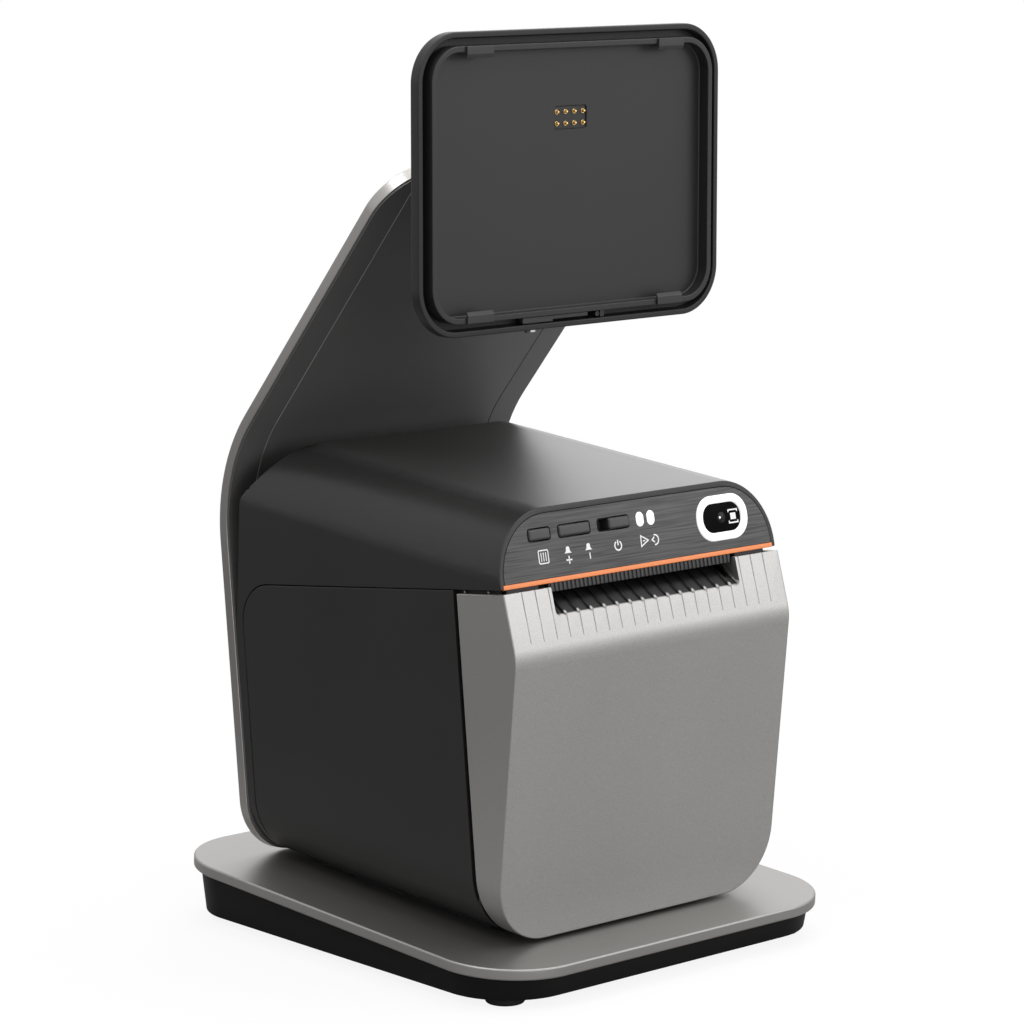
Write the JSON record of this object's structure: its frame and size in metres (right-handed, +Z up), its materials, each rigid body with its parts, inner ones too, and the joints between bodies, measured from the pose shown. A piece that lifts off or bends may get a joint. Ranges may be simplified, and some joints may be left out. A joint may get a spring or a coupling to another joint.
{
  "type": "receipt printer",
  "caption": "Receipt printer on a tilted base with a bent stand arm that carries a tilting tablet cradle; front cover opens for the paper roll.",
  "frame": {"origin": "middle of the base's footprint, on the table under the feet", "axes": "+Z up, the printer faces -Y, +X to its right seen from the front"},
  "size_m": [0.1666, 0.1857, 0.3224],
  "materials": {
    "satin_aluminium": "satin bead-blasted",
    "skirt_plastic": "fine matte",
    "foot_rubber": "matte",
    "ballast_steel": "raw",
    "circuit_board": "solder mask",
    "black_plastic": "matte",
    "steel": "zinc plated",
    "charcoal_plastic": "fine texture",
    "fascia_film": "brushed",
    "accent_orange": "satin",
    "button_plastic": "satin",
    "light_pipe": "frosted",
    "ring_white": "satin",
    "window_black": "polished",
    "silver_cover": "metallic paint",
    "platen_rubber": "ground",
    "bronze": "sintered",
    "gear_plastic": "natural",
    "head_ceramic": "glazed",
    "sink_aluminium": "extruded",
    "clip_grey": "satin",
    "gold": "polished",
    "latch_plastic": "satin",
    "bracket_black": "powder coat"
  },
  "bodies": {
    "printer": {"base_plate": "satin_aluminium", "stand_arm": "satin_aluminium", "base_skirt": "skirt_plastic", "base_feet": "foot_rubber", "body_pad": "foot_rubber", "base_ballast": "ballast_steel", "io_board": "circuit_board", "main_board": "circuit_board", "control_board": "circuit_board", "lan_socket": "black_plastic", "dc_inlet": "black_plastic", "tact_switches": "black_plastic", "scanner_module": "black_plastic", "paper_bin": "black_plastic", "base_screws": "steel", "usb_socket": "steel", "arm_bracket": "steel", "bracket_screws": "steel", "arm_screws": "steel", "cover_hinge_lugs": "steel", "tear_bar": "steel", "idler_pin": "steel", "mech_frame": "steel", "feed_motor": "steel", "tilt_pin": "steel", "tilt_screws": "steel", "cover_catches": "steel", "upper_cover": "charcoal_plastic", "lower_housing": "charcoal_plastic", "arm_skin": "charcoal_plastic", "arm_cable_cover": "charcoal_plastic", "fascia_panel": "fascia_film", "accent_strip": "accent_orange", "led_light_pipes": "light_pipe", "scanner_ring": "ring_white", "scanner_window": "window_black", "print_head": "head_ceramic", "heat_sink": "sink_aluminium", "tilt_bracket": "bracket_black"},
    "front_cover": {"front_cover": "silver_cover", "cover_hinge_pins": "steel", "platen_carrier": "black_plastic", "platen_bushes": "bronze"},
    "platen": {"platen_shaft": "steel", "platen_roller": "platen_rubber", "platen_gear": "gear_plastic"},
    "idler": {"idler_gear": "gear_plastic"},
    "pinion": {"motor_pinion": "gear_plastic"},
    "feed_button": {"feed_button": "button_plastic"},
    "volume_rocker": {"volume_rocker": "button_plastic"},
    "power_slider": {"power_slider": "button_plastic"},
    "cradle": {"cradle_shell": "charcoal_plastic", "cradle_tray": "charcoal_plastic", "cradle_clips": "clip_grey", "pogo_block": "black_plastic", "latch_peg": "steel"},
    "pogo_pins": {"pogo_pins": "gold"},
    "release_latch": {"release_latch": "latch_plastic"}
  },
  "joints": [
    {"name": "front_cover_hinge", "type": "hinge", "parent": "printer", "child": "front_cover", "pos_m": [0, -0.06531, 0.03098], "axis": [1, 0, 0], "range_deg": [0, 65]},
    {"name": "platen_turn", "type": "hinge", "parent": "front_cover", "child": "platen", "pos_m": [0, -0.05634, 0.12738], "axis": [1, 0, 0], "continuous": true},
    {"name": "idler_turn", "type": "hinge", "parent": "printer", "child": "idler", "pos_m": [0, -0.04104, 0.1227], "axis": [1, 0, 0], "continuous": true},
    {"name": "pinion_turn", "type": "hinge", "parent": "printer", "child": "pinion", "pos_m": [0, -0.02964, 0.11689], "axis": [1, 0, 0], "continuous": true},
    {"name": "feed_press", "type": "slide", "parent": "printer", "child": "feed_button", "axis": [0, 0.9785, -0.2062], "range_m": [0, 0.0008], "stiffness_N_per_m": 400},
    {"name": "volume_rock", "type": "hinge", "parent": "printer", "child": "volume_rocker", "pos_m": [-0.0289, -0.06651, 0.15571], "axis": [0, 0.2062, 0.9785], "range_deg": [-3, 3], "stiffness_Nm_per_rad": 0.05},
    {"name": "power_slide", "type": "slide", "parent": "printer", "child": "power_slider", "axis": [1, 0, 0], "range_m": [-0.0045, 0]},
    {"name": "cradle_tilt", "type": "hinge", "parent": "printer", "child": "cradle", "pos_m": [0, -0.01845, 0.25455], "axis": [1, 0, 0], "range_deg": [-14, 10]},
    {"name": "pogo_press", "type": "slide", "parent": "cradle", "child": "pogo_pins", "axis": [0, 1, 0], "range_m": [0, 0.0006], "stiffness_N_per_m": 400},
    {"name": "latch_slide", "type": "slide", "parent": "cradle", "child": "release_latch", "axis": [1, 0, 0], "range_m": [0, 0.003], "stiffness_N_per_m": 200}
  ],
  "couplings": [
    {"joint": "idler_turn", "follows": "platen_turn", "ratio": -1},
    {"joint": "pinion_turn", "follows": "platen_turn", "ratio": 1.6667}
  ]
}
